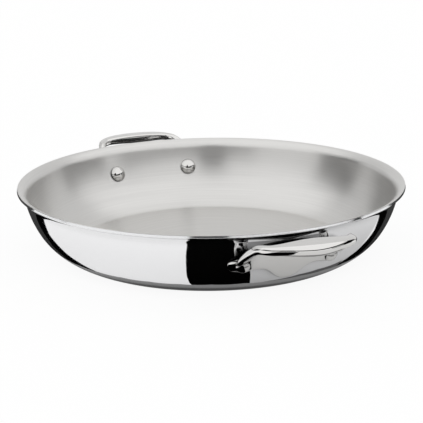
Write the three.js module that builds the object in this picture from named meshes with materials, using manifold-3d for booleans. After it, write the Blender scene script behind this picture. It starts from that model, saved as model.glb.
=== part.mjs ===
// Shallow round serving pan: a bowl of clad sheet metal with a flared pouring lip,
// and two cast handles, each held to the wall by two solid rivets.
// Millimetres, +Z up. The origin is on the table under the middle of the base, and +X runs
// through the middle of the front handle.
import * as THREE from "three";
import { mergeVertices } from "three/addons/utils/BufferGeometryUtils.js";
import Module from "manifold-3d";

// Bowl, measured on its outside. Wall angles are taken from the horizontal.
const RIM_DIAMETER = 300;
const PAN_HEIGHT = 53.8;
const BASE_CORNER_RADIUS = 12;
const BASE_CORNER_ANGLE = 22;
const LOWER_WALL_RADIUS = 51;
const LOWER_WALL_ANGLE = 60;
const WALL_TOP_ANGLE = 78;
const LIP_RADIUS = 7.5;
const LIP_ANGLE = 12;

// Clad sheet, from the inside out
const INNER_PLY = 0.4;
const CORE_PLY = 1.3;
const OUTER_PLY = 0.4;
const BOND_LINE = 0.02;

// Rivets
const RIVET_HEIGHT = 30.6;
const RIVET_HALF_ANGLE = 13.65;
const SHANK_DIAMETER = 6;
const SHANK_CLEARANCE = 0.2;
const HEAD_DIAMETER = 13;
const HEAD_RISE = 3.6;
const TAIL_DIAMETER = 10;
const TAIL_RISE = 3;
const RIVET_EDGE = 0.5;
const TAIL_POCKET_DEPTH = 6;

// Handle plate, which lies against the wall
const SEAT_GAP = 0.3;
const PLATE_THICKNESS = 4;
const PLATE_END_HEIGHT = 13;
const PLATE_END_OVERHANG = 8.8;
const LOBE_DROP = 14.6;
const WAIST_DROP = 4.3;
const WAIST_HALF_WIDTH = 21;
const LOBE_BEND = 9.5;

// Handle bow and the legs that carry it
const BOW_REACH = 41;
const BOW_ABOVE_RIM = 0.8;
const BOW_WIDTH = 18.5;
const BOW_THICKNESS = 7.8;
const BOW_TILT = 4;
const BEND_HALF_SPAN = 28;
const BEND_SETBACK = 5.5;
const BEND_DROP = 0.4;
const SHOULDER_HALF_SPAN = 35;
const SHOULDER_SETBACK = 15.8;
const SHOULDER_DROP = 2.3;
const SHOULDER_WIDTH = 7;
const SHOULDER_THICKNESS = 5.4;
const SHOULDER_SHARE = 0.4;
const KNEE_RISE = 9;
const KNEE_LEAN = 3;
const FOOT_RISE = 4;
const FOOT_DEPTH = 0.8;
const FOOT_WIDTH = 5;
const FOOT_SPREAD = 11;

// Smoothness
const MERGE_DISTANCE = 0.001;
const BOWL_SEGMENTS = 54;
const RIVET_SEGMENTS = 14;
const DOME_STEPS = 4;
const OUTLINE_SEGMENTS = 8;
const BOW_RINGS = 33;
const BOW_SIDES = 12;
const BOW_SQUARENESS = 3.4;

const wasm = await Module();
wasm.setup();

const radians = THREE.MathUtils.degToRad;
const rimRadius = RIM_DIAMETER / 2;
const wallThickness = INNER_PLY + BOND_LINE + CORE_PLY + BOND_LINE + OUTER_PLY;

// The outside of the wall as arcs that run on from each other. A negative radius curls outwards.
function arcRise(radius, from, to) {
  return radius * (Math.cos(radians(from)) - Math.cos(radians(to)));
}
function arcSpread(radius, from, to) {
  return radius * (Math.sin(radians(to)) - Math.sin(radians(from)));
}
const upperWallRise =
  PAN_HEIGHT -
  wallThickness * Math.cos(radians(LIP_ANGLE)) -
  arcRise(BASE_CORNER_RADIUS, 0, BASE_CORNER_ANGLE) -
  arcRise(LOWER_WALL_RADIUS, BASE_CORNER_ANGLE, LOWER_WALL_ANGLE) -
  arcRise(-LIP_RADIUS, WALL_TOP_ANGLE, LIP_ANGLE);
const upperWallRadius = upperWallRise / arcRise(1, LOWER_WALL_ANGLE, WALL_TOP_ANGLE);
const wallArcs = [
  { radius: BASE_CORNER_RADIUS, from: 0, to: BASE_CORNER_ANGLE, steps: 2 },
  { radius: LOWER_WALL_RADIUS, from: BASE_CORNER_ANGLE, to: LOWER_WALL_ANGLE, steps: 4 },
  { radius: upperWallRadius, from: LOWER_WALL_ANGLE, to: WALL_TOP_ANGLE, steps: 3 },
  { radius: -LIP_RADIUS, from: WALL_TOP_ANGLE, to: LIP_ANGLE, steps: 3 },
];
const wallSpread = wallArcs.reduce((sum, arc) => sum + arcSpread(arc.radius, arc.from, arc.to), 0);
let arcStart = { r: rimRadius - wallSpread, z: 0 };
for (const arc of wallArcs) {
  arc.start = arcStart;
  arcStart = {
    r: arcStart.r + arcSpread(arc.radius, arc.from, arc.to),
    z: arcStart.z + arcRise(arc.radius, arc.from, arc.to),
  };
}

// A point of the wall's meridian, moved along its normal: depth runs into the sheet from the outside.
function onArc(arc, angle, depth) {
  const r = arc.start.r + arcSpread(arc.radius, arc.from, angle);
  const z = arc.start.z + arcRise(arc.radius, arc.from, angle);
  return new THREE.Vector2(
    r - depth * Math.sin(radians(angle)),
    z + depth * Math.cos(radians(angle)),
  );
}
function meridian(depth) {
  const points = [new THREE.Vector2(0, depth), new THREE.Vector2(wallArcs[0].start.r, depth)];
  for (const arc of wallArcs) {
    for (let step = 1; step <= arc.steps; step++) {
      const angle = THREE.MathUtils.lerp(arc.from, arc.to, step / arc.steps);
      points.push(onArc(arc, angle, depth));
    }
  }
  return points;
}

// A closed sheet between two depths, spun round the pan's axis.
function spunSheet(outerDepth, innerDepth) {
  const profile = [...meridian(outerDepth), ...meridian(innerDepth).reverse()];
  return new THREE.LatheGeometry(profile, BOWL_SEGMENTS).rotateX(Math.PI / 2);
}

// Where the upper wall's outside has a given height: its radius and the slope of the wall there.
const upperWall = wallArcs[2];
function wallAt(height) {
  const rise = (height - upperWall.start.z) / upperWall.radius;
  const slope = Math.acos(Math.cos(radians(upperWall.from)) - rise);
  const spread = Math.sin(slope) - Math.sin(radians(upperWall.from));
  return { r: upperWall.start.r + upperWall.radius * spread, slope };
}
const rivetSeat = wallAt(RIVET_HEIGHT);
const seatNormal = new THREE.Vector3(Math.sin(rivetSeat.slope), 0, -Math.cos(rivetSeat.slope));

// A point off the wall at rivet height: an angle round the pan, and a distance out along the normal.
function offWall(angle, distance) {
  return new THREE.Vector3(rivetSeat.r, 0, RIVET_HEIGHT)
    .addScaledVector(seatNormal, distance)
    .applyAxisAngle(new THREE.Vector3(0, 0, 1), angle);
}

// Solids for cutting and joining
function solidFrom(geometry) {
  const bare = geometry.clone();
  bare.deleteAttribute("normal");
  bare.deleteAttribute("uv");
  const merged = mergeVertices(bare, MERGE_DISTANCE);
  return new wasm.Manifold(
    new wasm.Mesh({
      numProp: 3,
      vertProperties: merged.attributes.position.array,
      triVerts: new Uint32Array(merged.index.array),
    }),
  );
}
function geometryFrom(solid) {
  const mesh = solid.getMesh();
  const geometry = new THREE.BufferGeometry();
  geometry.setAttribute("position", new THREE.BufferAttribute(mesh.vertProperties, 3));
  geometry.setIndex(new THREE.BufferAttribute(mesh.triVerts, 1));
  geometry.computeVertexNormals();
  return geometry;
}

// Rivet, spun about its own axis, which points out of the pan. Its zero is on the wall's outside.
// Inside the pan a dome stands clear of the hollow wall by the sag under its edge.
const headRadius = HEAD_DIAMETER / 2;
const wallSag = headRadius ** 2 / 2 / upperWallRadius + headRadius ** 2 / 2 / rivetSeat.r;
const headSeat = -(wallThickness + SEAT_GAP + wallSag);
const tailSeat = SEAT_GAP + PLATE_THICKNESS + SEAT_GAP;
const shankRadius = SHANK_DIAMETER / 2;
const tailRadius = TAIL_DIAMETER / 2;

function domePoints(radius, rise, seat, outward) {
  const crown = (radius ** 2 + rise ** 2) / 2 / rise;
  const halfAngle = Math.asin(radius / crown);
  const points = [];
  for (let step = 0; step < DOME_STEPS; step++) {
    const angle = halfAngle * (1 - step / DOME_STEPS);
    const height = rise - crown * (1 - Math.cos(angle));
    points.push(new THREE.Vector2(crown * Math.sin(angle), seat + outward * (RIVET_EDGE + height)));
  }
  points.push(new THREE.Vector2(0, seat + outward * (RIVET_EDGE + rise)));
  return points;
}

function rivetGeometry() {
  const head = domePoints(headRadius, HEAD_RISE - RIVET_EDGE, headSeat, -1).reverse();
  const tail = domePoints(tailRadius, TAIL_RISE - RIVET_EDGE, tailSeat, 1);
  const profile = [
    ...head,
    new THREE.Vector2(headRadius, headSeat),
    new THREE.Vector2(shankRadius, headSeat),
    new THREE.Vector2(shankRadius, tailSeat),
    new THREE.Vector2(tailRadius, tailSeat),
    ...tail,
  ];
  return new THREE.LatheGeometry(profile, RIVET_SEGMENTS);
}

function rivetPlace(angle) {
  const normal = seatNormal.clone().applyAxisAngle(new THREE.Vector3(0, 0, 1), angle);
  const turn = new THREE.Quaternion().setFromUnitVectors(new THREE.Vector3(0, 1, 0), normal);
  return { position: offWall(angle, 0), turn };
}

// A round cutter on a rivet's axis, between two distances out from the wall's outside.
function rivetCutter(angle, radius, from, to) {
  const { position, turn } = rivetPlace(angle);
  const cutter = new THREE.CylinderGeometry(radius, radius, to - from, RIVET_SEGMENTS);
  cutter.translate(0, (from + to) / 2, 0).applyQuaternion(turn);
  return solidFrom(cutter.translate(position.x, position.y, position.z));
}
function shankBore(angle) {
  return rivetCutter(angle, shankRadius + SHANK_CLEARANCE, headSeat, tailSeat);
}
// Room for the rivet's tail under the foot of the leg.
function tailPocket(angle) {
  const face = SEAT_GAP + PLATE_THICKNESS;
  return rivetCutter(angle, tailRadius + SEAT_GAP, face, face + TAIL_POCKET_DEPTH);
}

const rivetAngles = [-radians(RIVET_HALF_ANGLE), radians(RIVET_HALF_ANGLE)];
const handleAngles = [0, Math.PI];

function boredPly(outerDepth, innerDepth) {
  let ply = solidFrom(spunSheet(outerDepth, innerDepth));
  for (const handleAngle of handleAngles) {
    for (const rivetAngle of rivetAngles) {
      ply = ply.subtract(shankBore(handleAngle + rivetAngle));
    }
  }
  return geometryFrom(ply);
}

// Handle plate: a shell that follows the wall, trimmed to an outline seen along +X.
// The outline has two round ends about the rivets, a straight top and a lobe in the middle below.
const plateMiddle = offWall(0, SEAT_GAP + PLATE_THICKNESS / 2).z;
const plateFaceRadius = offWall(0, SEAT_GAP + PLATE_THICKNESS).x;
const rivetHalfSpan = plateFaceRadius * Math.sin(radians(RIVET_HALF_ANGLE));
const plateHalfWidth = rivetHalfSpan + PLATE_END_OVERHANG;

function plateOutline() {
  const endRadius = PLATE_END_HEIGHT / 2;
  const endCentre = plateHalfWidth - endRadius;
  const bottom = plateMiddle - endRadius;
  const waist = plateMiddle - WAIST_DROP;
  const lobe = plateMiddle - LOBE_DROP;
  const halfway = (WAIST_HALF_WIDTH + endCentre) / 2;
  const outline = new THREE.Shape();
  outline.moveTo(0, lobe);
  outline.bezierCurveTo(LOBE_BEND, lobe, WAIST_HALF_WIDTH - LOBE_BEND, waist, WAIST_HALF_WIDTH, waist);
  outline.bezierCurveTo(halfway, waist, halfway, bottom, endCentre, bottom);
  outline.absarc(endCentre, plateMiddle, endRadius, -Math.PI / 2, Math.PI / 2, false);
  outline.lineTo(-endCentre, plateMiddle + endRadius);
  outline.absarc(-endCentre, plateMiddle, endRadius, Math.PI / 2, Math.PI * 1.5, false);
  outline.bezierCurveTo(-halfway, bottom, -halfway, waist, -WAIST_HALF_WIDTH, waist);
  outline.bezierCurveTo(LOBE_BEND - WAIST_HALF_WIDTH, waist, -LOBE_BEND, lobe, 0, lobe);
  return outline;
}

function handlePlate() {
  const shell = solidFrom(spunSheet(-SEAT_GAP - PLATE_THICKNESS, -SEAT_GAP));
  const prism = new THREE.ExtrudeGeometry(plateOutline(), {
    depth: rimRadius,
    bevelEnabled: false,
    curveSegments: OUTLINE_SEGMENTS,
  });
  const alongX = new THREE.Matrix4().makeBasis(
    new THREE.Vector3(0, 1, 0),
    new THREE.Vector3(0, 0, 1),
    new THREE.Vector3(1, 0, 0),
  );
  return shell.intersect(solidFrom(prism.applyMatrix4(alongX).translate(rimRadius / 2, 0, 0)));
}

// Handle bow: one flat bar, lofted from its foot over a rivet, up the leg, over a shoulder, round
// the bow and down the other leg. Its broad side is turned as far towards +X as its run allows, and
// tilted on the bow, so that the outer edge lies lower than the inner one.
const bowMiddle = new THREE.Vector3(
  rimRadius + BOW_REACH - BOW_WIDTH / 2,
  0,
  PAN_HEIGHT + BOW_ABOVE_RIM - BOW_THICKNESS / 2,
);

// A point by the plate's face: distances across from the handle's middle, up the wall and out of the face.
function byPlate(across, up, out) {
  const angle = Math.asin(across / plateFaceRadius);
  const climb = new THREE.Vector3(Math.cos(rivetSeat.slope), 0, Math.sin(rivetSeat.slope));
  climb.applyAxisAngle(new THREE.Vector3(0, 0, 1), angle);
  return offWall(angle, SEAT_GAP + PLATE_THICKNESS + out).addScaledVector(climb, up);
}

function bowPath() {
  const foot = byPlate(rivetHalfSpan, FOOT_RISE, -FOOT_DEPTH);
  const knee = byPlate(rivetHalfSpan, KNEE_RISE, KNEE_LEAN);
  const shoulder = new THREE.Vector3(
    bowMiddle.x - SHOULDER_SETBACK,
    SHOULDER_HALF_SPAN,
    bowMiddle.z - SHOULDER_DROP,
  );
  const bend = new THREE.Vector3(bowMiddle.x - BEND_SETBACK, BEND_HALF_SPAN, bowMiddle.z - BEND_DROP);
  const half = [foot, knee, shoulder, bend];
  const mirrored = half.map((point) => new THREE.Vector3(point.x, -point.y, point.z));
  return new THREE.CatmullRomCurve3([...half, bowMiddle, ...mirrored.reverse()], false, "centripetal");
}

// The bar's section at a share of the way from its foot (0) to the middle of the bow (1).
function barSize(share) {
  const { lerp, smoothstep } = THREE.MathUtils;
  const onLeg = smoothstep(share, 0, SHOULDER_SHARE);
  const onBow = smoothstep(share, SHOULDER_SHARE, 1);
  return {
    width: lerp(lerp(FOOT_WIDTH, SHOULDER_WIDTH, onLeg), BOW_WIDTH, onBow),
    thickness: lerp(lerp(FOOT_SPREAD, SHOULDER_THICKNESS, onLeg), BOW_THICKNESS, onBow),
    tilt: radians(BOW_TILT) * onBow,
  };
}

function barRing(path, place) {
  const { width, thickness, tilt } = barSize(1 - Math.abs(2 * place - 1));
  const centre = path.getPointAt(place);
  const along = path.getTangentAt(place);
  const across = new THREE.Vector3(1, 0, 0);
  across.addScaledVector(along, -across.dot(along)).normalize();
  across.applyAxisAngle(along, -tilt);
  const up = new THREE.Vector3().crossVectors(along, across);
  const rounded = (value) => Math.sign(value) * Math.abs(value) ** (2 / BOW_SQUARENESS);
  const ring = [];
  for (let side = 0; side < BOW_SIDES; side++) {
    const angle = (2 * Math.PI * side) / BOW_SIDES;
    ring.push(
      centre
        .clone()
        .addScaledVector(across, (width / 2) * rounded(Math.cos(angle)))
        .addScaledVector(up, (thickness / 2) * rounded(Math.sin(angle))),
    );
  }
  return ring;
}

function handleBow() {
  const path = bowPath();
  const points = [];
  const faces = [];
  for (let ring = 0; ring < BOW_RINGS; ring++) {
    points.push(...barRing(path, ring / (BOW_RINGS - 1)));
  }
  for (let ring = 0; ring < BOW_RINGS - 1; ring++) {
    for (let side = 0; side < BOW_SIDES; side++) {
      const a = ring * BOW_SIDES + side;
      const b = ring * BOW_SIDES + ((side + 1) % BOW_SIDES);
      faces.push(a, b, b + BOW_SIDES, a, b + BOW_SIDES, a + BOW_SIDES);
    }
  }
  const last = (BOW_RINGS - 1) * BOW_SIDES;
  for (let side = 1; side < BOW_SIDES - 1; side++) {
    faces.push(0, side + 1, side);
    faces.push(last, last + side, last + side + 1);
  }
  const bow = new THREE.BufferGeometry().setFromPoints(points);
  bow.setIndex(faces);
  return solidFrom(bow);
}

function handleGeometry() {
  let handle = handlePlate().add(handleBow());
  for (const angle of rivetAngles) {
    handle = handle.subtract(shankBore(angle)).subtract(tailPocket(angle));
  }
  return geometryFrom(handle);
}

// Finishes
function steel(color, roughness) {
  return new THREE.MeshStandardMaterial({ color, roughness, metalness: 1 });
}
function piece(name, geometry, material) {
  const mesh = new THREE.Mesh(geometry, material);
  mesh.name = name;
  return mesh;
}

const pan = new THREE.Group();
const coreDepth = OUTER_PLY + BOND_LINE;
const innerDepth = wallThickness - INNER_PLY;
pan.add(piece("inner_steel_ply", boredPly(innerDepth, wallThickness), steel(0xc8c8c6, 0.35)));
pan.add(piece("aluminium_core", boredPly(coreDepth, coreDepth + CORE_PLY), steel(0xb9bcc0, 0.5)));
pan.add(piece("outer_steel_ply", boredPly(0, OUTER_PLY), steel(0xd4d5d6, 0.06)));

const handleShape = handleGeometry();
const rivetShape = rivetGeometry();
["front", "rear"].forEach((end, index) => {
  const group = new THREE.Group();
  group.rotation.z = handleAngles[index];
  group.add(piece(end + "_handle", handleShape, steel(0xd0d0d0, 0.1)));
  ["left", "right"].forEach((side, number) => {
    const { position, turn } = rivetPlace(rivetAngles[number]);
    const rivet = piece(end + "_rivet_" + side, rivetShape, steel(0xcccccc, 0.12));
    rivet.position.copy(position);
    rivet.quaternion.copy(turn);
    group.add(rivet);
  });
  pan.add(group);
});

export default pan;
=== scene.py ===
"""Dress a shallow two-handled serving pan of clad stainless steel, and set it up in a small photo studio."""
import math
from collections import namedtuple

import bmesh
import bpy
from mathutils import Matrix, Quaternion, Vector


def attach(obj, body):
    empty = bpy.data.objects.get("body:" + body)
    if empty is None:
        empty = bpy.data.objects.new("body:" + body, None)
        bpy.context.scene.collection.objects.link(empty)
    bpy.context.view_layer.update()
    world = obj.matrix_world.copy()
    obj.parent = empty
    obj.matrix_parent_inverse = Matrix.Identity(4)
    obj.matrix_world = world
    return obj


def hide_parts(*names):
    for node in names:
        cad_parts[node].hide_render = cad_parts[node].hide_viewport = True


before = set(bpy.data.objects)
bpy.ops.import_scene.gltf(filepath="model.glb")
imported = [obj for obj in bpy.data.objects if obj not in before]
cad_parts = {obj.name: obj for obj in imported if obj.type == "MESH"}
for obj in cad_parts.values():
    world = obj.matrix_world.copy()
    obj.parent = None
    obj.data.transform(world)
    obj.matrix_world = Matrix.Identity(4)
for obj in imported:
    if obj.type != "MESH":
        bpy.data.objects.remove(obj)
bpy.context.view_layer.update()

bl_info = {
    "name": "Serving Pan",
    "version": (1, 0, 0),
    "blender": (4, 5, 0),
    "location": "View3D > Sidebar > Serving Pan",
    "description": "Models a two-handled serving pan of clad steel with riveted cast handles",
    "category": "Object",
}

BODY = "root"
MM = 0.001
UP = Vector((0, 0, 1))
FULL_TURN = 2 * math.pi

# How finely the pieces are modelled
STEP_DEGREES = 1.5
SPIN_STEPS = 240
RIM_SEGMENTS = 4
DOME_STEPS = 10
RIVET_STEPS = 64
OUTLINE_STEPS = 14
EDGE_STEPS = 6
GRID = 1 * MM
BOW_RINGS = 201
BOW_SIDES = 64
FINE_STEPS = 60
CARD_STEPS = 32
MERGE_DISTANCE = 0.002 * MM
CORNER_FIND = 0.01 * MM
FLAT_ANGLE = math.radians(0.2)

# Up to which angle between two faces a piece is shaded smoothly
PLY_SMOOTH = math.radians(40)
RIVET_SMOOTH = math.radians(35)
PLATE_SMOOTH = math.radians(35)
BOW_SMOOTH = math.radians(60)
CASTING_SMOOTH = math.radians(50)

# The strap's section: 2 is an oval, and a higher number is squarer
LEG_SQUARENESS = 2.6
OUTER_EDGE_SQUARENESS = 3.4
INNER_EDGE_SQUARENESS = 5.5
UNDERSIDE_SQUARENESS = 3.0
# How much deeper the underside is at the outer edge, and how much lower the top is there
UNDERSIDE_SKEW = 0.3
TOP_FALL = 0.2

# The plate: how the ends fall away, how the arch leans in at its flanks, and how deep the rivets' room is
END_FALL_POWER = 1.5
FLANK_LEAN = 0.7
POCKET_DEPTH = 6 * MM

# Most values of a noise lie between these two
NOISE_LOW = 0.3
NOISE_HIGH = 0.7

# Painted shade in seams: how far round a point is looked at, how open it is where it is darkest and where it
# is bright again, and the tone where it is darkest
SEAM_REACH = 8 * MM
SEAM_CLOSED = 0.55
SEAM_OPEN = 0.92
RIVET_SEAM_OPEN = 1.0
SEAM_TONE = 0.04

# The studio: the floor lies a little below the table's height, and flat cards lie on it in layers
FLOOR_DROP = 0.2 * MM
CARD_LAYER = 0.1 * MM
# How far the upright cards stand from the pan's middle and from the front handle, in millimetres
CARD_RADIUS = 900
FLAG_RADIUS = 200
SENSOR_WIDTH = 36


def linear(hex_colour):
    """An sRGB hex colour as linear red, green and blue."""
    parts = [int(hex_colour[place:place + 2], 16) / 255 for place in (0, 2, 4)]
    return [part / 12.92 if part <= 0.04045 else ((part + 0.055) / 1.055) ** 2.4 for part in parts]


def length(label, description, millimetres):
    """A length property, given in millimetres."""
    return bpy.props.FloatProperty(
        name=label, description=description, default=millimetres * MM, precision=5,
        subtype="DISTANCE", unit="LENGTH",
    )


def angle(label, description, degrees):
    """An angle property, given in degrees."""
    return bpy.props.FloatProperty(
        name=label, description=description, default=math.radians(degrees), subtype="ANGLE", unit="ROTATION",
    )


def share(label, description, value):
    """A property from 0 to 1."""
    return bpy.props.FloatProperty(
        name=label, description=description, default=value, min=0, max=1, subtype="FACTOR",
    )


def colour(label, description, hex_colour):
    """A colour property, given as sRGB hex."""
    return bpy.props.FloatVectorProperty(
        name=label, description=description, default=linear(hex_colour), min=0, max=1, subtype="COLOR",
    )


class BowlSizes(bpy.types.PropertyGroup):
    """Sizes of the clad bowl, measured on its outside; wall angles are taken from the horizontal"""
    rim_diameter: length("Rim Diameter", "Across the outer edge of the lip", 300)
    height: length("Height", "From the table to the top of the lip", 53.8)
    corner_radius: length("Corner Radius", "Bend where the base turns into the wall", 12)
    corner_angle: angle("Corner Angle", "Slope of the wall at the end of that bend", 22)
    lower_radius: length("Lower Wall Radius", "Curve of the lower wall", 51)
    lower_angle: angle("Lower Wall Angle", "Slope of the wall at the end of that curve", 60)
    top_angle: angle("Wall Top Angle", "Slope of the wall under the lip", 78)
    lip_radius: length("Lip Radius", "Outward bend of the pouring lip", 7.5)
    lip_angle: angle("Lip Angle", "Slope of the lip at its cut edge", 12)
    inner_ply: length("Inner Ply", "Thickness of the brushed steel inside", 0.4)
    core_ply: length("Core", "Thickness of the aluminium core", 1.3)
    outer_ply: length("Outer Ply", "Thickness of the polished steel outside", 0.4)
    bond_line: length("Bond Line", "Gap between two plies", 0.02)
    edge_round: length("Edge Rounding", "Radius on the two outer corners of the cut rim", 0.3)


class RivetSizes(bpy.types.PropertyGroup):
    """Sizes and places of the rivets"""
    height: length("Rivet Height", "Height of a rivet where it meets the wall's outside", 30.6)
    half_angle: angle("Half Angle", "Angle round the pan from the handle's middle to a rivet", 13.65)
    shank_diameter: length("Shank Diameter", "Diameter through the wall", 6)
    head_diameter: length("Head Diameter", "Diameter of the dome inside the pan", 13)
    head_rise: length("Head Rise", "Height of the dome inside the pan", 3.6)
    tail_diameter: length("Tail Diameter", "Diameter of the end on the handle's plate", 10)
    tail_rise: length("Tail Rise", "Height of the end on the handle's plate", 3)
    edge: length("Rivet Edge", "Height of the straight edge under each dome", 0.5)


class HandleSizes(bpy.types.PropertyGroup):
    """Sizes of a cast handle: a plate against the wall, two legs and a bow"""
    seat_gap: length("Seat Gap", "Gap from the wall to the plate", 0.3)
    plate_thickness: length("Plate Thickness", "Thickness of the plate", 4)
    plate_edge: length("Plate Edge", "Radius round the plate's edge", 1.8)
    end_fall: length("End Fall", "How far the plate's face falls back at the edge of its round ends", 3.5)
    end_height: length("End Height", "Height of the plate's round ends", 13)
    end_overhang: length("End Overhang", "From a rivet's middle to the plate's end", 8.8)
    lobe_drop: length("Lobe Drop", "From the plate's middle line down to the lobe", 14.6)
    waist_drop: length("Waist Drop", "From the plate's middle line down to the waists", 4.3)
    waist_half_width: length("Waist Half Width", "From the handle's middle to a waist", 21)
    lobe_bend: length("Lobe Bend", "Reach of the lobe's curve", 9.5)
    arch_rise: length("Arch Rise", "From the plate's middle line up to the top of its arch", 14)
    flank_rise: length("Flank Rise", "From the plate's middle line up to the flanks of its arch", 8.5)
    flank_half_width: length("Flank Half Width", "From the handle's middle to a flank of the arch", 30)
    bow_reach: length("Bow Reach", "From the rim to the outside of the bow", 41)
    bow_above_rim: length("Bow above Rim", "From the rim's top to the bow's top", 0.8)
    bow_width: length("Bow Width", "Width of the bow's strap in its middle", 18.5)
    bow_thickness: length("Bow Thickness", "Thickness of the bow's strap in its middle", 7.8)
    bow_tilt: angle("Bow Tilt", "Slope of the strap in the bow's middle, down towards its outer edge", 4)
    bend_half_span: length("Bend Half Span", "From the handle's middle to the bend of the bow", 28)
    bend_setback: length("Bend Setback", "From the bow's middle line back to the bend", 5.5)
    bend_drop: length("Bend Drop", "From the bow's middle line down to the bend", 0.4)
    shoulder_half_span: length("Shoulder Half Span", "From the handle's middle to a shoulder", 35)
    shoulder_setback: length("Shoulder Setback", "From the bow's middle line back to a shoulder", 15.8)
    shoulder_drop: length("Shoulder Drop", "From the bow's middle line down to a shoulder", 2.3)
    shoulder_width: length("Shoulder Width", "Width of the strap at a shoulder", 6)
    shoulder_thickness: length("Shoulder Thickness", "Thickness of the strap at a shoulder", 5.4)
    shoulder_share: share("Shoulder Share", "Share of the half strap where it starts to widen", 0.4)
    knee_rise: length("Knee Rise", "From a rivet's height up the wall to the knee of a leg", 9)
    knee_lean: length("Knee Lean", "From the plate's face out to the knee of a leg", 3)
    foot_rise: length("Foot Rise", "From a rivet's height up the wall to the foot of a leg", 4)
    foot_depth: length("Foot Depth", "How far a foot is sunk into the plate", 0.8)
    foot_width: length("Foot Width", "Width of a leg at its foot, seen from the side", 4.4)
    foot_spread: length("Foot Spread", "Width of a leg at its foot, seen from the front", 11)


class Finishes(bpy.types.PropertyGroup):
    """Colours of the metals"""
    brushed: colour("Brushed Steel", "Inside of the pan", "E3E2E0")
    polished: colour("Polished Steel", "Outside of the pan", "F0F0F1")
    cast: colour("Cast Steel", "Handles", "E6E5E3")
    turned: colour("Rivet Steel", "Rivets", "E2E1DF")
    core: colour("Aluminium", "Core of the clad sheet", "E9EAEB")


class StageSizes(bpy.types.PropertyGroup):
    """The studio: camera, floor and the cards that the polished steel mirrors"""
    distance: length("Camera Distance", "From the middle of the rim to the camera", 1080)
    azimuth: angle("Camera Azimuth", "Bearing of the camera, from -Y towards +X", 67.9)
    elevation: angle("Camera Elevation", "Height of the camera over the horizon", 14.5035)
    roll: angle("Camera Roll", "Turn of the camera about its own axis", -0.7074)
    aim_drop: length("Aim Drop", "From the rim's middle down to where the camera points", 24.351)
    lens: length("Lens", "Focal length on a 36 mm wide sensor", 118.119)
    floor_size: length("Floor Size", "Width of the floor", 6000)
    floor_seen: share("Floor in Picture", "How much of its own white the floor shows the camera", 0.93)
    floor_mirrored: share("Floor in Metal", "How much of its own white the floor shows the metal", 0.68)
    card_lift: length("Card Lift", "Height of the lowest flat cards over the table", 0.6)


Arc = namedtuple("Arc", "radius start end r z")
Seat = namedtuple("Seat", "r slope")


# Modelling by hand

def begin(name, add_primitive, **settings):
    """Add a primitive with nothing else selected, name it and open it for editing."""
    bpy.ops.object.select_all(action="DESELECT")
    add_primitive(**settings)
    piece = bpy.context.object
    piece.name = name
    piece.data.name = name
    bpy.ops.object.mode_set(mode="EDIT")
    return piece


def edit_mesh(piece):
    """The mesh that is open for editing."""
    return bmesh.from_edit_mesh(piece.data)


def draw_line(name, points):
    """Start a piece with a line, extruded from point to point."""
    piece = begin(name, bpy.ops.mesh.primitive_circle_add, vertices=3, radius=MM)
    bpy.ops.mesh.delete(type="VERT")
    mesh = edit_mesh(piece)
    mesh.verts.new(points[0]).select_set(True)
    bmesh.update_edit_mesh(piece.data)
    for start, end in zip(points, points[1:]):
        bpy.ops.mesh.extrude_region_move(TRANSFORM_OT_translate={"value": end - start})
    return piece


def select_only(piece, mode, chosen):
    """Select just the vertices, edges or faces that pass a test."""
    bpy.ops.mesh.select_mode(type=mode)
    bpy.ops.mesh.select_all(action="DESELECT")
    mesh = edit_mesh(piece)
    for part in {"VERT": mesh.verts, "EDGE": mesh.edges, "FACE": mesh.faces}[mode]:
        if chosen(part):
            part.select_set(True)
    mesh.select_flush_mode()
    bmesh.update_edit_mesh(piece.data)


def pick(piece):
    """Make one object the selected and active one."""
    bpy.ops.object.select_all(action="DESELECT")
    piece.select_set(True)
    bpy.context.view_layer.objects.active = piece


def end_edit(piece, smooth_angle):
    """Merge what coincides, turn the faces outwards, and shade smoothly up to an angle."""
    bpy.ops.mesh.select_all(action="SELECT")
    bpy.ops.mesh.remove_doubles(threshold=MERGE_DISTANCE)
    bpy.ops.mesh.normals_make_consistent(inside=False)
    bpy.ops.object.mode_set(mode="OBJECT")
    pick(piece)
    bpy.ops.object.shade_smooth_by_angle(angle=smooth_angle)


def apply_modifier(piece, kind, **settings):
    """Add a modifier with its settings and apply it."""
    pick(piece)
    modifier = piece.modifiers.new(kind.title(), kind)
    for field, value in settings.items():
        setattr(modifier, field, value)
    bpy.ops.object.modifier_apply(modifier=modifier.name)


def combine(piece, tool, operation):
    """Join or cut a piece with another one, which is used up."""
    apply_modifier(piece, "BOOLEAN", object=tool, operation=operation, solver="EXACT")
    bpy.data.objects.remove(tool)


def copy_turned(piece, name, turn):
    """A copy with its own mesh, turned in place."""
    pick(piece)
    bpy.ops.object.duplicate()
    copy = bpy.context.object
    copy.name = name
    copy.data.name = name
    copy.data.transform(turn)
    return copy


def dress(piece, material, node):
    """Give a piece its material, and let it stand for its solid."""
    piece.data.materials.clear()
    piece.data.materials.append(material)
    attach(piece, BODY)
    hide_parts(node)


# The wall's shape

def rise(radius, start, end):
    """How far an arc of the wall climbs."""
    return radius * (math.cos(start) - math.cos(end))


def spread(radius, start, end):
    """How far an arc of the wall leans out."""
    return radius * (math.sin(end) - math.sin(start))


def sheet_thickness(bowl):
    """Thickness of the clad sheet."""
    return bowl.inner_ply + bowl.core_ply + bowl.outer_ply + 2 * bowl.bond_line


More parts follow.
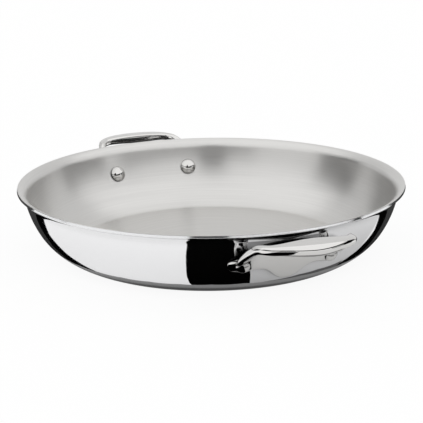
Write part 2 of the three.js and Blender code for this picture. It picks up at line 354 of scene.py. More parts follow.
def wall_arcs(bowl):
    """The wall's outside as arcs that run on from each other; a negative radius curls outwards."""
    corner = (bowl.corner_radius, 0.0, bowl.corner_angle)
    lower = (bowl.lower_radius, bowl.corner_angle, bowl.lower_angle)
    lip = (-bowl.lip_radius, bowl.top_angle, bowl.lip_angle)
    top = bowl.height - sheet_thickness(bowl) * math.cos(bowl.lip_angle)
    left_over = top - rise(*corner) - rise(*lower) - rise(*lip)
    upper = (left_over / rise(1, bowl.lower_angle, bowl.top_angle), bowl.lower_angle, bowl.top_angle)
    runs = [corner, lower, upper, lip]
    r = bowl.rim_diameter / 2 - sum(spread(*run) for run in runs)
    z = 0.0
    arcs = []
    for run in runs:
        arcs.append(Arc(*run, r, z))
        r += spread(*run)
        z += rise(*run)
    return arcs


def wall_point(arc, slope, depth):
    """A point of an arc, moved into the sheet by a depth."""
    r = arc.r + spread(arc.radius, arc.start, slope) - depth * math.sin(slope)
    z = arc.z + rise(arc.radius, arc.start, slope) + depth * math.cos(slope)
    return Vector((r, 0, z))


def meridian(bowl, depth):
    """Points from the middle of the floor to the lip's edge, at a depth in the sheet."""
    arcs = wall_arcs(bowl)
    flat = arcs[0].r
    points = [Vector((flat * part, 0, depth)) for part in (0, 0.5, 0.98, 1)]
    for arc in arcs:
        steps = max(4, round(abs(math.degrees(arc.end - arc.start)) / STEP_DEGREES))
        for step in range(1, steps + 1):
            points.append(wall_point(arc, arc.start + (arc.end - arc.start) * step / steps, depth))
    return points


def wall_radius(bowl, height, outwards):
    """Radius of the curved wall at a height, on a surface held off the wall by a distance."""
    lower, upper = wall_arcs(bowl)[1:3]
    joint = wall_point(upper, upper.start, -outwards).z
    arc = upper if height > joint else lower
    centre_r = arc.r - arc.radius * math.sin(arc.start)
    centre_z = arc.z + arc.radius * math.cos(arc.start)
    return centre_r + math.sqrt((arc.radius + outwards) ** 2 - (centre_z - height) ** 2)


def rivet_seat(bowl, rivets):
    """Radius and slope of the wall at the rivets' height."""
    upper = wall_arcs(bowl)[2]
    slope = math.acos(math.cos(upper.start) - (rivets.height - upper.z) / upper.radius)
    return Seat(upper.r + spread(upper.radius, upper.start, slope), slope)


def off_wall(bowl, rivets, bearing, distance):
    """A point off the wall at the rivets' height: an angle round the pan and a distance outwards."""
    seat = rivet_seat(bowl, rivets)
    normal = Vector((math.sin(seat.slope), 0, -math.cos(seat.slope)))
    point = Vector((seat.r, 0, rivets.height)) + normal * distance
    return Matrix.Rotation(bearing, 3, "Z") @ point


# The strap's shape

def mix(start, end, part):
    """A value between two others, at a share of the way."""
    return start + (end - start) * part


def blend(value, start, end):
    """A soft step from 0 to 1 between two values."""
    run = min(1.0, max(0.0, (value - start) / (end - start)))
    return run * run * (3 - 2 * run)


def strap_section(turn, on_bow):
    """The strap's section on a unit box: oval in the legs, flat with a crisp inner edge on the bow."""
    flat, steep = math.cos(turn), math.sin(turn)
    full = INNER_EDGE_SQUARENESS
    if flat > 0:
        full = OUTER_EDGE_SQUARENESS if steep > 0 else UNDERSIDE_SQUARENESS
    squareness = mix(LEG_SQUARENESS, full, on_bow)
    aside, height = [math.copysign(abs(value) ** (2 / squareness), value) for value in (flat, steep)]
    outer = max(0.0, aside) * on_bow
    height *= 1 + UNDERSIDE_SKEW * outer if height < 0 else 1 - TOP_FALL * outer ** 2
    return Vector((aside, height, 0))


def even_points(knots, count):
    """Evenly spaced points on a centripetal Catmull-Rom curve through the knots."""
    padded = [2 * knots[0] - knots[1], *knots, 2 * knots[-1] - knots[-2]]
    fine = [knots[0]]
    for p0, p1, p2, p3 in zip(padded, padded[1:], padded[2:], padded[3:]):
        d0, d1, d2 = (math.sqrt((b - a).length) for a, b in ((p0, p1), (p1, p2), (p2, p3)))
        leave = ((p1 - p0) / d0 - (p2 - p0) / (d0 + d1) + (p2 - p1) / d1) * d1
        arrive = ((p2 - p1) / d1 - (p3 - p1) / (d1 + d2) + (p3 - p2) / d2) * d1
        for step in range(1, FINE_STEPS + 1):
            t = step / FINE_STEPS
            fine.append(
                p1 * (2 * t ** 3 - 3 * t ** 2 + 1) + leave * (t ** 3 - 2 * t ** 2 + t)
                + p2 * (3 * t ** 2 - 2 * t ** 3) + arrive * (t ** 3 - t ** 2)
            )
    reach = [0.0]
    for start, end in zip(fine, fine[1:]):
        reach.append(reach[-1] + (end - start).length)
    points = []
    place = 0
    for number in range(count):
        target = reach[-1] * number / (count - 1)
        while place < len(fine) - 2 and reach[place + 1] < target:
            place += 1
        part = (target - reach[place]) / (reach[place + 1] - reach[place])
        points.append(fine[place].lerp(fine[place + 1], part))
    return points


# Materials

def add(tree, kind, inputs=None, **settings):
    """Add a node, set its fields, and fill its inputs: a socket is linked, another value is set."""
    node = tree.nodes.new(kind)
    for field, value in settings.items():
        setattr(node, field, value)
    for socket, value in (inputs or {}).items():
        if isinstance(value, bpy.types.NodeSocket):
            tree.links.new(value, node.inputs[socket])
        else:
            node.inputs[socket].default_value = value
    return node


def new_material(name):
    """An empty node material and its tree."""
    material = bpy.data.materials.new(name)
    material.use_nodes = True
    material.node_tree.nodes.clear()
    return material, material.node_tree


def finish_metal(tree, inputs):
    """End a tree in a metal surface."""
    surface = add(tree, "ShaderNodeBsdfPrincipled", {"Metallic": 1.0, **inputs})
    add(tree, "ShaderNodeOutputMaterial", {"Surface": surface.outputs["BSDF"]})


def painted_seam_shade(tree, base, open_share):
    """A colour that darkens in seams and corners, by how closed in a point is: painted shade."""
    corner = add(tree, "ShaderNodeAmbientOcclusion", {"Distance": SEAM_REACH}, samples=8).outputs["AO"]
    shade = add(tree, "ShaderNodeMapRange", {0: corner, 1: SEAM_CLOSED, 2: open_share, 3: SEAM_TONE, 4: 1.0})
    tint = add(tree, "ShaderNodeVectorMath", {0: base, "Scale": shade.outputs[0]}, operation="SCALE")
    return tint.outputs[0]


def patchy(tree, noise, low, high):
    """A value that follows a noise from a low one to a high one."""
    value = add(tree, "ShaderNodeMapRange", {0: noise, 1: NOISE_LOW, 2: NOISE_HIGH, 3: low, 4: high})
    return value.outputs[0]


def haze(tree, width, detail, low, high):
    """A roughness that comes and goes in patches of a width."""
    place = add(tree, "ShaderNodeTexCoord").outputs["Object"]
    noise = add(tree, "ShaderNodeTexNoise", {"Vector": place, "Scale": 1 / width, "Detail": detail})
    return patchy(tree, noise.outputs[0], low, high)


def brushed_steel(finishes):
    """Stainless steel 18/10 brushed in rings: soft reflections drawn out across the rings, and faint
    streaks along them. Real scratches are about 0.1 mm apart; they are drawn about 0.9 mm apart to show."""
    material, tree = new_material("stainless_steel_brushed_in_rings")
    streak_width = 0.9 * MM
    groove_depth = 0.05 * MM
    place = add(tree, "ShaderNodeTexCoord").outputs["Object"]
    flat = add(tree, "ShaderNodeVectorMath", {0: place, 1: (1, 1, 0)}, operation="MULTIPLY").outputs["Vector"]
    radius = add(tree, "ShaderNodeVectorMath", {0: flat}, operation="LENGTH").outputs["Value"]
    bearing = add(tree, "ShaderNodeVectorMath", {0: flat}, operation="NORMALIZE").outputs["Vector"]
    height = add(tree, "ShaderNodeSeparateXYZ", {0: place}).outputs["Z"]
    out_and_up = add(tree, "ShaderNodeMath", {0: radius, 1: height}, operation="ADD").outputs[0]
    across = add(tree, "ShaderNodeMath", {0: out_and_up, 1: 1 / streak_width}, operation="MULTIPLY")
    upright = add(tree, "ShaderNodeCombineXYZ", {"Z": across.outputs[0]}).outputs[0]
    along = add(tree, "ShaderNodeVectorMath", {0: bearing, 1: (1.5, 1.5, 0)}, operation="MULTIPLY").outputs[0]
    ring = add(tree, "ShaderNodeVectorMath", {0: along, 1: upright}, operation="ADD").outputs[0]
    streaks = add(tree, "ShaderNodeTexNoise", {"Vector": ring, "Scale": 1.0, "Detail": 3.0}).outputs[0]
    tone = patchy(tree, streaks, 0.95, 1.0)
    tint = add(tree, "ShaderNodeVectorMath", {0: finishes.brushed, "Scale": tone}, operation="SCALE")
    grooves = add(tree, "ShaderNodeBump", {"Strength": 0.12, "Distance": groove_depth, "Height": streaks})
    tangent = add(tree, "ShaderNodeVectorMath", {0: (0, 0, 1), 1: bearing}, operation="CROSS_PRODUCT")
    finish_metal(tree, {
        "Base Color": tint.outputs[0],
        "Roughness": patchy(tree, streaks, 0.36, 0.28),
        "Anisotropic": 0.75,
        "Anisotropic Rotation": 0.25,
        "Tangent": tangent.outputs[0],
        "Normal": grooves.outputs[0],
    })
    return material


def polished_steel(finishes):
    """Stainless steel buffed to a mirror: sharp reflections, with a trace of haze from the buffing wheel."""
    material, tree = new_material("stainless_steel_mirror_polished")
    rough = haze(tree, 25 * MM, 2.0, 0.035, 0.06)
    # Painted shade: the colour darkens in seams and corners, by how closed in they are
    tint = painted_seam_shade(tree, finishes.polished, SEAM_OPEN)
    finish_metal(tree, {"Base Color": tint, "Roughness": rough})
    return material


def cast_steel(finishes):
    """Cast stainless steel, ground and polished by hand: bright, with a haze that comes and goes."""
    material, tree = new_material("stainless_steel_cast_and_polished")
    rough = haze(tree, 9 * MM, 1.0, 0.05, 0.09)
    # Painted shade: the colour darkens in seams and corners, by how closed in they are
    tint = painted_seam_shade(tree, finishes.cast, SEAM_OPEN)
    finish_metal(tree, {"Base Color": tint, "Roughness": rough})
    return material


def rivet_steel(finishes):
    """Stainless steel upset in a die and polished: small bright domes with soft-edged reflections."""
    material, tree = new_material("stainless_steel_headed_and_polished")
    rough = haze(tree, 2 * MM, 2.0, 0.05, 0.09)
    # Painted shade: the colour darkens round the dome where it meets the wall, by how closed in it is
    tint = painted_seam_shade(tree, finishes.turned, RIVET_SEAM_OPEN)
    finish_metal(tree, {"Base Color": tint, "Roughness": rough})
    return material


def core_aluminium(finishes):
    """Rolled aluminium, seen only in the ground and buffed rim: a little softer than the steel beside it."""
    material, tree = new_material("aluminium_rolled_and_ground")
    rough = haze(tree, 1 * MM, 2.0, 0.1, 0.14)
    finish_metal(tree, {"Base Color": (*finishes.core, 1), "Roughness": rough})
    return material


class PAN_OT_clad_sheet(bpy.types.Operator):
    """Spin the three plies of the clad bowl"""
    bl_idname = "serving_pan.clad_sheet"
    bl_label = "Clad Bowl"

    def execute(self, context):
        bowl = context.scene.pan_bowl
        finishes = context.scene.pan_finishes
        core_start = bowl.outer_ply + bowl.bond_line
        core_end = core_start + bowl.core_ply
        inner_start = core_end + bowl.bond_line
        outer = self.spin_ply(bowl, "outer_steel", 0.0, bowl.outer_ply)
        dress(outer, polished_steel(finishes), "outer_steel_ply")
        core = self.spin_ply(bowl, "core", core_start, core_end)
        dress(core, core_aluminium(finishes), "aluminium_core")
        inner = self.spin_ply(bowl, "inner_steel", inner_start, sheet_thickness(bowl))
        dress(inner, brushed_steel(finishes), "inner_steel_ply")
        return {"FINISHED"}

    def spin_ply(self, bowl, name, outer_depth, inner_depth):
        """Draw a ply's section as a line, round the corner that shows at the rim, and spin it."""
        outer = meridian(bowl, outer_depth)
        section = outer + meridian(bowl, inner_depth)[::-1]
        ply = draw_line(name, section)
        corners = []
        if outer_depth == 0:
            corners.append(section[len(outer) - 1])
        if inner_depth == sheet_thickness(bowl):
            corners.append(section[len(outer)])
        for corner in corners:
            select_only(ply, "VERT", lambda vertex: (vertex.co - corner).length < CORNER_FIND)
            bpy.ops.mesh.bevel(offset=bowl.edge_round, segments=RIM_SEGMENTS, affect="VERTICES")
        bpy.ops.mesh.select_all(action="SELECT")
        bpy.ops.mesh.spin(steps=SPIN_STEPS, angle=FULL_TURN, center=(0, 0, 0), axis=UP)
        end_edit(ply, PLY_SMOOTH)
        return ply


class PAN_OT_rivets(bpy.types.Operator):
    """Spin one rivet and set a copy in each of its four places"""
    bl_idname = "serving_pan.rivets"
    bl_label = "Rivets"

    def execute(self, context):
        scene = context.scene
        finish = rivet_steel(scene.pan_finishes)
        pattern = self.spin_rivet(scene.pan_bowl, scene.pan_rivets, scene.pan_handle)
        for end, turn in (("front", 0), ("rear", math.pi)):
            for side, sign in (("left", -1), ("right", 1)):
                place = self.place(scene.pan_bowl, scene.pan_rivets, sign)
                name = f"{end}_rivet_{side}"
                rivet = copy_turned(pattern, name + "_spun", Matrix.Rotation(turn, 4, "Z") @ place)
                dress(rivet, finish, name)
        bpy.data.objects.remove(pattern)
        return {"FINISHED"}

    def place(self, bowl, rivets, sign):
        """Where a rivet goes, from its own axis along Z."""
        seat = rivet_seat(bowl, rivets)
        bearing = sign * rivets.half_angle
        tilt = Matrix.Rotation(math.pi - seat.slope, 4, "Y")
        turn = Matrix.Rotation(bearing, 4, "Z")
        return Matrix.Translation(off_wall(bowl, rivets, bearing, 0)) @ turn @ tilt

    def dome(self, radius, height, seat, outwards):
        """Section of a dome from its edge to its middle."""
        crown = (radius ** 2 + height ** 2) / (2 * height)
        half = math.asin(radius / crown)
        points = []
        for step in range(DOME_STEPS + 1):
            turn = half * (1 - step / DOME_STEPS)
            z = seat + outwards * (height - crown * (1 - math.cos(turn)))
            points.append(Vector((crown * math.sin(turn), 0, z)))
        return points

    def spin_rivet(self, bowl, rivets, handle):
        """Draw half of a rivet's section and spin it about Z, which points out of the pan."""
        head, tail = rivets.head_diameter / 2, rivets.tail_diameter / 2
        shank = rivets.shank_diameter / 2
        upper = wall_arcs(bowl)[2]
        sag = head ** 2 / 2 / upper.radius + head ** 2 / 2 / rivet_seat(bowl, rivets).r
        head_seat = -(sheet_thickness(bowl) + handle.seat_gap + sag)
        tail_seat = 2 * handle.seat_gap + handle.plate_thickness
        edge = rivets.edge
        section = self.dome(head, rivets.head_rise - edge, head_seat - edge, -1)[::-1]
        section += [
            Vector((head, 0, head_seat)),
            Vector((shank, 0, head_seat)),
            Vector((shank, 0, tail_seat)),
            Vector((tail, 0, tail_seat)),
        ]
        section += self.dome(tail, rivets.tail_rise - edge, tail_seat + edge, 1)
        rivet = draw_line("rivet", section)
        bpy.ops.mesh.select_all(action="SELECT")
        bpy.ops.mesh.spin(steps=RIVET_STEPS, angle=FULL_TURN, center=(0, 0, 0), axis=UP)
        end_edit(rivet, RIVET_SMOOTH)
        return rivet


class PAN_OT_handles(bpy.types.Operator):
    """Model one cast handle and set a copy on the other side"""
    bl_idname = "serving_pan.handles"
    bl_label = "Handles"

    def execute(self, context):
        scene = context.scene
        self.bowl, self.rivets, self.handle = scene.pan_bowl, scene.pan_rivets, scene.pan_handle
        front = self.plate()
        combine(front, self.bow(), "UNION")
        for sign in (-1, 1):
            combine(front, self.tail_pocket(sign), "DIFFERENCE")
        front.name = "front_casting"
        pick(front)
        bpy.ops.object.shade_smooth_by_angle(angle=CASTING_SMOOTH)
        rear = copy_turned(front, "rear_casting", Matrix.Rotation(math.pi, 4, "Z"))
        finish = cast_steel(scene.pan_finishes)
        dress(front, finish, "front_handle")
        dress(rear, finish, "rear_handle")
        return {"FINISHED"}

    def off_wall(self, bearing, distance):
        """A point off the wall at the rivets' height."""
        return off_wall(self.bowl, self.rivets, bearing, distance)

    def face_radius(self):
        """Radius of the plate's face at the rivets' height."""
        return self.off_wall(0, self.handle.seat_gap + self.handle.plate_thickness).x

    def rivet_span(self):
        """From the handle's middle to a rivet's middle."""
        return self.face_radius() * math.sin(self.rivets.half_angle)

    def half_width(self):
        """From the handle's middle to the plate's end."""
        return self.rivet_span() + self.handle.end_overhang

    def by_plate(self, across, up, out):
        """A point by the plate's face: distances across, up the wall and out of the face."""
        bearing = math.asin(across / self.face_radius())
        slope = rivet_seat(self.bowl, self.rivets).slope
        climb = Matrix.Rotation(bearing, 3, "Z") @ Vector((math.cos(slope), 0, math.sin(slope)))
        face = self.handle.seat_gap + self.handle.plate_thickness
        return self.off_wall(bearing, face + out) + climb * up

    def plate_outline(self):
        """Knots of the plate's outline with their handles, across and up: lobe, waist, end, flank, top."""
        handle = self.handle
        middle = self.off_wall(0, handle.seat_gap + handle.plate_thickness / 2).z
        radius = handle.end_height / 2
        end = self.half_width() - radius
        bottom, top = middle - radius, middle + handle.arch_rise
        flank_x, flank = handle.flank_half_width, middle + handle.flank_rise
        waist, lobe = middle - handle.waist_drop, middle - handle.lobe_drop
        waist_x = handle.waist_half_width
        halfway = (waist_x + end) / 2
        pull = radius * 4 / 3 * (math.sqrt(2) - 1)
        right = [
            ((0, lobe), (-handle.lobe_bend, lobe), (handle.lobe_bend, lobe)),
            ((waist_x, waist), (waist_x - handle.lobe_bend, waist), (halfway, waist)),
            ((end, bottom), (halfway, bottom), (end + pull, bottom)),
            ((end + radius, middle), (end + radius, middle - pull), (end + radius, middle + pull)),
            ((flank_x, flank), (flank_x + pull, flank - pull), (flank_x - pull, flank + pull * FLANK_LEAN)),
            ((0, top), (flank_x / 2, top), (-flank_x / 2, top)),
        ]
        left = []
        for knot, before, after in right[-2:0:-1]:
            left.append(tuple((-x, z) for x, z in (knot, after, before)))
        return right + left

    def plate(self):
        """Draw the outline as a filled curve with a round edge, cut a grid into it and lay it on the wall."""
        handle = self.handle
        bpy.ops.object.select_all(action="DESELECT")
        bpy.ops.curve.primitive_bezier_circle_add()
        curve = bpy.context.object.data
        curve.dimensions = "2D"
        curve.fill_mode = "BOTH"
        curve.resolution_u = OUTLINE_STEPS
        curve.bevel_depth = handle.plate_edge
        curve.bevel_resolution = EDGE_STEPS
        curve.offset = -handle.plate_edge
        curve.extrude = handle.plate_thickness / 2 - handle.plate_edge
        curve.splines.clear()
        spline = curve.splines.new("BEZIER")
        knots = self.plate_outline()
        spline.bezier_points.add(len(knots) - 1)
        for point, (knot, before, after) in zip(spline.bezier_points, knots):
            point.handle_left_type = point.handle_right_type = "FREE"
            point.co = (*knot, 0)
            point.handle_left = (*before, 0)
            point.handle_right = (*after, 0)
        spline.use_cyclic_u = True
        bpy.ops.object.convert(target="MESH")
        plate = bpy.context.object
        bpy.ops.object.mode_set(mode="EDIT")
        bpy.ops.mesh.select_all(action="SELECT")
        bpy.ops.mesh.remove_doubles(threshold=MERGE_DISTANCE)
        bpy.ops.mesh.dissolve_limited(angle_limit=FLAT_ANGLE)
        self.cut_grid(self.half_width(), Vector((1, 0, 0)))
        self.cut_grid(self.bowl.height, Vector((0, 1, 0)))
        mesh = edit_mesh(plate)
        middle_depth = handle.seat_gap + handle.plate_thickness / 2
        for vertex in mesh.verts:
            across, up, out = vertex.co
            out -= self.end_fall(across, up) * (out / handle.plate_thickness + 0.5)
            radius = wall_radius(self.bowl, up, middle_depth + out)
            vertex.co = (math.sqrt(radius ** 2 - across ** 2), across, up)
        bmesh.update_edit_mesh(plate.data)
        end_edit(plate, PLATE_SMOOTH)
        return plate

    def end_fall(self, across, up):
        """How far the plate's face falls back round its ends; it falls nowhere between the rivets."""
        handle = self.handle
        radius = handle.end_height / 2
        middle = self.off_wall(0, handle.seat_gap + handle.plate_thickness / 2).z
        past_centre = max(0.0, abs(across) - self.half_width() + radius)
        reach = min(1.0, math.hypot(past_centre, up - middle) / radius)
        near_end = blend(abs(across), self.rivet_span() - radius / 2, self.rivet_span() + radius / 2)
        return handle.end_fall * near_end * reach ** END_FALL_POWER

    def cut_grid(self, reach, direction):
        """Cut the flat plate by evenly spaced planes, so that it can follow the wall."""
        count = round(reach / GRID)
        for step in range(-count, count + 1):
            bpy.ops.mesh.select_all(action="SELECT")
            bpy.ops.mesh.bisect(plane_co=direction * step * GRID, plane_no=direction)

    def path_points(self):
        """Points on the strap's path: foot, knee, shoulder and bend on each side, and the bow's middle."""
        handle = self.handle
        middle = Vector((
            self.bowl.rim_diameter / 2 + handle.bow_reach - handle.bow_width / 2,
            0,
            self.bowl.height + handle.bow_above_rim - handle.bow_thickness / 2,
        ))
        half = [
            self.by_plate(self.rivet_span(), handle.foot_rise, -handle.foot_depth),
            self.by_plate(self.rivet_span(), handle.knee_rise, handle.knee_lean),
            middle + Vector((-handle.shoulder_setback, handle.shoulder_half_span, -handle.shoulder_drop)),
            middle + Vector((-handle.bend_setback, handle.bend_half_span, -handle.bend_drop)),
        ]
        mirrored = [Vector((point.x, -point.y, point.z)) for point in reversed(half)]
        return half + [middle] + mirrored

    def bow(self):
        """Extrude the strap's section along its path, from foot to foot."""
        handle = self.handle
        path = even_points(self.path_points(), BOW_RINGS)
        circle = {"vertices": BOW_SIDES, "radius": 1, "fill_type": "NGON"}
        bow = begin("bow", bpy.ops.mesh.primitive_circle_add, **circle)
        mesh = edit_mesh(bow)
        side = mesh.verts.layers.int.new("side")
        for number, vertex in enumerate(mesh.verts):
            vertex[side] = number
        bmesh.update_edit_mesh(bow.data)
        for ring, centre in enumerate(path):
            if ring:
                bpy.ops.mesh.extrude_region()
            along = path[min(ring + 1, BOW_RINGS - 1)] - path[max(ring - 1, 0)]
            part = 1 - abs(2 * ring / (BOW_RINGS - 1) - 1)
            on_bow = blend(part, handle.shoulder_share, 1)
            on_leg = blend(part, 0, handle.shoulder_share)
            place = self.ring_place(centre, along.normalized(), on_leg, on_bow)
            mesh = edit_mesh(bow)
            side = mesh.verts.layers.int["side"]
            for vertex in mesh.verts:
                if vertex.select:
                    vertex.co = place @ strap_section(FULL_TURN * vertex[side] / BOW_SIDES, on_bow)
            bmesh.update_edit_mesh(bow.data)
        end_edit(bow, BOW_SMOOTH)
        return bow

    def ring_place(self, centre, along, on_leg, on_bow):
        """Matrix of the strap's section: its broad side points outwards as far as its run allows."""
        handle = self.handle
        leg_width = mix(handle.foot_width, handle.shoulder_width, on_leg)
        leg_thickness = mix(handle.foot_spread, handle.shoulder_thickness, on_leg)
        width = mix(leg_width, handle.bow_width, on_bow)
        thickness = mix(leg_thickness, handle.bow_thickness, on_bow)
        out = Vector((1, 0, 0))
        across = (out - along * out.dot(along)).normalized()
        across.rotate(Quaternion(along, -handle.bow_tilt * on_bow))
        up = along.cross(across)
        columns = Matrix((across * width / 2, up * thickness / 2, along * MM)).transposed()
        return Matrix.Translation(centre) @ columns.to_4x4()

    def tail_pocket(self, sign):
        """A round cutter that clears the rivet's tail under the foot of a leg."""
        handle = self.handle
        bearing = sign * self.rivets.half_angle
        face = handle.seat_gap + handle.plate_thickness
        low, high = self.off_wall(bearing, face), self.off_wall(bearing, face + POCKET_DEPTH)
        pocket = begin(
            "pocket", bpy.ops.mesh.primitive_cylinder_add, vertices=RIVET_STEPS,
            radius=self.rivets.tail_diameter / 2 + handle.seat_gap, depth=POCKET_DEPTH,
        )
        bpy.ops.object.mode_set(mode="OBJECT")
        turn = (high - low).to_track_quat("Z", "Y").to_matrix().to_4x4()
        pocket.data.transform(Matrix.Translation((low + high) / 2) @ turn)
        return pocket


class PAN_OT_stage(bpy.types.Operator):
    """Lay the floor, stand the cards, hang the light and set up the camera"""
    bl_idname = "serving_pan.stage"
    bl_label = "Studio"

    def execute(self, context):
        self.stage = context.scene.pan_stage
        self.bowl = context.scene.pan_bowl
        self.floor()
        self.cards()
        self.world(context.scene)
        context.scene.camera = self.camera()
        context.scene.view_settings.view_transform = "Standard"
        return {"FINISHED"}

    def floor(self):
        """A pale floor that the camera and the metal see as white, with part of the pan's shadow."""
        stage = self.stage
        floor = begin("floor", bpy.ops.mesh.primitive_plane_add, size=stage.floor_size)
        bpy.ops.object.mode_set(mode="OBJECT")
        floor.data.transform(Matrix.Translation((0, 0, -FLOOR_DROP)))
        material, tree = new_material("paper_white_matt")
        paper = add(tree, "ShaderNodeBsdfDiffuse", {"Color": (*linear("FAFAFA"), 1)})
        glow = add(tree, "ShaderNodeEmission", {"Color": (1, 1, 1, 1), "Strength": 1.0})
        ray = add(tree, "ShaderNodeLightPath").outputs
        in_picture = {0: ray["Is Camera Ray"], 1: stage.floor_seen}
        in_metal = {0: ray["Is Glossy Ray"], 1: stage.floor_mirrored}
        shares = [add(tree, "ShaderNodeMath", rays, operation="MULTIPLY") for rays in (in_picture, in_metal)]
        seen = {0: shares[0].outputs[0], 1: shares[1].outputs[0]}
        white = add(tree, "ShaderNodeMath", seen, operation="ADD").outputs[0]
        surface = add(tree, "ShaderNodeMixShader", {0: white, 1: paper.outputs[0], 2: glow.outputs[0]})
        add(tree, "ShaderNodeOutputMaterial", {"Surface": surface.outputs[0]})
        floor.data.materials.append(material)

    def world(self, scene):
        """Even white light from all round."""
        world = bpy.data.worlds.new("white_tent")
        world.use_nodes = True
        world.node_tree.nodes.clear()
        light = add(world.node_tree, "ShaderNodeBackground", {"Color": (1, 1, 1, 1), "Strength": 1.0})
        add(world.node_tree, "ShaderNodeOutputWorld", {"Surface": light.outputs[0]})
        scene.world = world

    def bearing(self, degrees):
        """A direction on the floor in degrees, turned to the right from the way to the camera."""
        return math.degrees(self.stage.azimuth) - 90 + degrees

    def cards(self):
        """Black, grey and pale cards, seen only in the metal. Corners of floor cards are given in millimetres
        towards the camera and aside, and upright cards by bearings in degrees and heights in millimetres."""
        # The last number is the share of painted glow that each card gives off on top of the studio's light
        black = self.card_paper("velvet_black", "050505", 0)
        dark = self.card_paper("paper_dark_grey", "707070", 0.02)
        grey = self.card_paper("paper_grey", "DADADA", 0.19)
        charcoal = self.card_paper("paper_charcoal", "404040", 0)
        pale = self.card_paper("paper_pale_grey", "808080", 0.64)
        middling = self.card_paper("paper_middle_grey", "9A9A9A", 0.13)
        shadow = self.card_paper("paper_shadow_grey", "909090", 0.02)

        # The black patch left of the front handle; its left edge bends as the wall does that mirrors it
        gap_left = [(116, -12), (119, -14.5), (123, -17.2), (132, -20.3), (141, -22.3), (166, -27.5)]
        gap_right = [(700, -111), (700, 163), (113, 26.5)]
        self.floor_card("front_gap", gap_left + gap_right, 1, black, 2)

        # Greys on the right: a painted shadow under the bow, a darker painted shade at the pan's foot, and
        # all of the open floor
        bow_shade = [(176, 28), (165, 67), (126, 126), (152, 152), (218, 88), (212, 34)]
        self.floor_card("bow_shade", bow_shade, 1, shadow, 1)
        strip_fade = [(121, 12), (114, 44), (106, 66), (96, 82), (76, 104), (76, 86), (94, 66), (106, 40)]
        self.floor_card("strip_fade", strip_fade, 1, dark, 1)
        right_grey = [(113, 26.5), (700, 163), (600, 700), (13, 195), (84, 88)]
        self.floor_card("right_grey", right_grey, 1, grey, 0)

        # Dark strips along both sides of the wall; on the left the card runs on behind the far handle
        flag_edge = [(84, 88), (72, 107), (55, 130), (31, 157), (13, 195), (-20, 225)]
        shade_edge = [(64, 99), (37, 129), (-15, 180), (-45, 225)]
        left_end, right_end = [(-420, 0), (-110, 0)], [(-420, 240), (-190, 190), (-75, 75)]
        for side, name, end in ((-1, "left", left_end), (1, "right", right_end)):
            behind = [(-330, 800), (-420, 800), *end, (0, 105)]
            self.floor_card(name + "_flag", flag_edge + behind, side, black, 0)
            self.floor_card(name + "_shade", shade_edge + behind, side, charcoal, 2)

        # A grey ring under the pan's foot, a painted shadow there, for the band along the foot
        self.flat_ring("foot_shade", 100, 122, middling, 4)

        # Cards round the studio for the brushed inside: bearing of one end, sweep, lower and upper edge
        round_pan = (
            ("camera_gap", -11, 19.5, 120, 800, black),
            ("right_gap", 80, 45, 60, 350, black),
            ("left_gap", -155, 73, 60, 520, black),
            ("front_bar", -80, 170, 300, 430, dark),
            ("back_wall", 120, 120, 0, 900, pale),
        )
        for name, start, sweep, low, high, paper in round_pan:
            self.upright_card(name, self.bearing(start), sweep, Vector(), CARD_RADIUS, low, high, paper)

        # Two flags before the front handle, for the dark line along the bow's outer edge
        handle_middle = Vector((self.bowl.rim_diameter / 2 / MM, 0, 0))
        flags = (("handle_flag", -100, 200, 80, 190), ("tip_flag", 40, 40, 26, 54))
        for name, start, sweep, low, high in flags:
            self.upright_card(name, start, sweep, handle_middle, FLAG_RADIUS, low, high, black)

    def card_paper(self, name, hex_colour, glow):
        """A matt card that is lit by the studio, and for a share glows with painted light of its own."""
        material, tree = new_material(name)
        paper = add(tree, "ShaderNodeBsdfDiffuse", {"Color": (*linear(hex_colour), 1)})
        painted_glow = add(tree, "ShaderNodeEmission", {"Color": (1, 1, 1, 1), "Strength": 1.0})
        surface = add(tree, "ShaderNodeMixShader", {0: glow, 1: paper.outputs[0], 2: painted_glow.outputs[0]})
        add(tree, "ShaderNodeOutputMaterial", {"Surface": surface.outputs[0]})
        return material

    def set_card(self, card, material):
        """Hide a card from all but the metal's reflections."""
        card.data.materials.append(material)
        card.visible_camera = card.visible_diffuse = card.visible_shadow = False

    def swept_card(self, name, start, sweep, middle, ends, material):
        """Sweep a line between two ends round a middle, by an angle from a bearing, both in degrees."""
        turn = Matrix.Rotation(math.radians(start), 3, "Z")
        card = draw_line(name, [(middle + turn @ end) * MM for end in ends])
        bpy.ops.mesh.select_all(action="SELECT")
        bpy.ops.mesh.spin(steps=CARD_STEPS, angle=math.radians(sweep), center=middle * MM, axis=-UP)
        bpy.ops.object.mode_set(mode="OBJECT")
        self.set_card(card, material)

    def upright_card(self, name, start, sweep, middle, radius, low, high, material):
        """A curved card that stands round a middle."""
        ends = [Vector((radius, 0, height)) for height in (low, high)]
        self.swept_card(name, start, sweep, middle, ends, material)

    def layer_height(self, layer):
        """Height of a flat card in one of the layers."""
        return self.stage.card_lift + layer * CARD_LAYER

    def flat_ring(self, name, near, far, material, layer):
        """A ring on the floor."""
        ends = [Vector((radius, 0, self.layer_height(layer) / MM)) for radius in (near, far)]
        self.swept_card(name, 0, 360, Vector(), ends, material)

    def floor_card(self, name, corners, side, material, layer):
        """A card on the floor; side is 1 for corners to the right and -1 for corners to the left."""
        outline = {"vertices": len(corners), "radius": 1, "fill_type": "NGON"}
        card = begin(name, bpy.ops.mesh.primitive_circle_add, **outline)
        mesh = edit_mesh(card)
        mesh.verts.ensure_lookup_table()
        turn = Matrix.Rotation(math.radians(self.bearing(0)), 3, "Z")
        for vertex, (front, aside) in zip(mesh.verts, corners):
            vertex.co = turn @ Vector((front * MM, side * aside * MM, self.layer_height(layer)))
        bmesh.update_edit_mesh(card.data)
        bpy.ops.object.mode_set(mode="OBJECT")
        self.set_card(card, material)

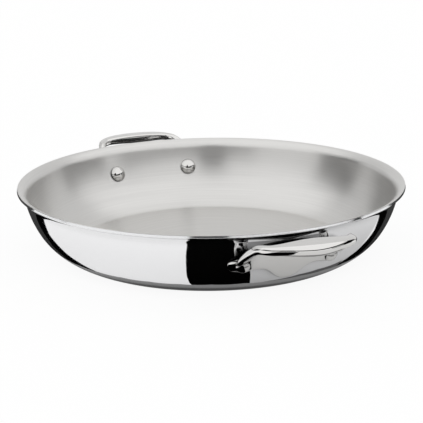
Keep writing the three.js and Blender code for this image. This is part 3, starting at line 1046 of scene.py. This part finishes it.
    def camera(self):
        """The picture's view: from a little above, with the front handle on the right."""
        stage = self.stage
        level = math.cos(stage.elevation)
        back = Vector((
            math.sin(stage.azimuth) * level, -math.cos(stage.azimuth) * level, math.sin(stage.elevation),
        ))
        right = (-back).cross(UP).normalized()
        target = Vector((0, 0, self.bowl.height)) - right.cross(-back) * stage.aim_drop
        data = bpy.data.cameras.new("camera")
        data.sensor_width = SENSOR_WIDTH
        data.lens = stage.lens / MM
        camera = bpy.data.objects.new("camera", data)
        bpy.context.scene.collection.objects.link(camera)
        place = Vector((0, 0, self.bowl.height)) + back * stage.distance
        look = (target - place).to_track_quat("-Z", "Y").to_matrix().to_4x4()
        camera.matrix_world = Matrix.Translation(place) @ look @ Matrix.Rotation(stage.roll, 4, "Z")
        return camera


class PAN_PT_sidebar(bpy.types.Panel):
    """Buttons and sizes of the serving pan"""
    bl_label = "Serving Pan"
    bl_idname = "PAN_PT_sidebar"
    bl_space_type = "VIEW_3D"
    bl_region_type = "UI"
    bl_category = "Serving Pan"

    def draw(self, context):
        for operator in OPERATORS:
            self.layout.operator(operator.bl_idname)
        for group in GROUPS:
            sizes = getattr(context.scene, group)
            box = self.layout.box()
            for field in sizes.__annotations__:
                box.prop(sizes, field)


OPERATORS = (PAN_OT_clad_sheet, PAN_OT_handles, PAN_OT_rivets, PAN_OT_stage)
GROUPS = {
    "pan_bowl": BowlSizes,
    "pan_rivets": RivetSizes,
    "pan_handle": HandleSizes,
    "pan_finishes": Finishes,
    "pan_stage": StageSizes,
}


def register():
    """Register the classes and give the scene its sizes."""
    for group in (*GROUPS.values(), *OPERATORS, PAN_PT_sidebar):
        bpy.utils.register_class(group)
    for name, group in GROUPS.items():
        setattr(bpy.types.Scene, name, bpy.props.PointerProperty(type=group))


def unregister():
    """Undo register."""
    for name in GROUPS:
        delattr(bpy.types.Scene, name)
    for group in (PAN_PT_sidebar, *OPERATORS, *GROUPS.values()):
        bpy.utils.unregister_class(group)


def main():
    """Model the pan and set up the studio."""
    register()
    bpy.ops.serving_pan.clad_sheet()
    bpy.ops.serving_pan.handles()
    bpy.ops.serving_pan.rivets()
    bpy.ops.serving_pan.stage()


if __name__ == "__main__":
    main()
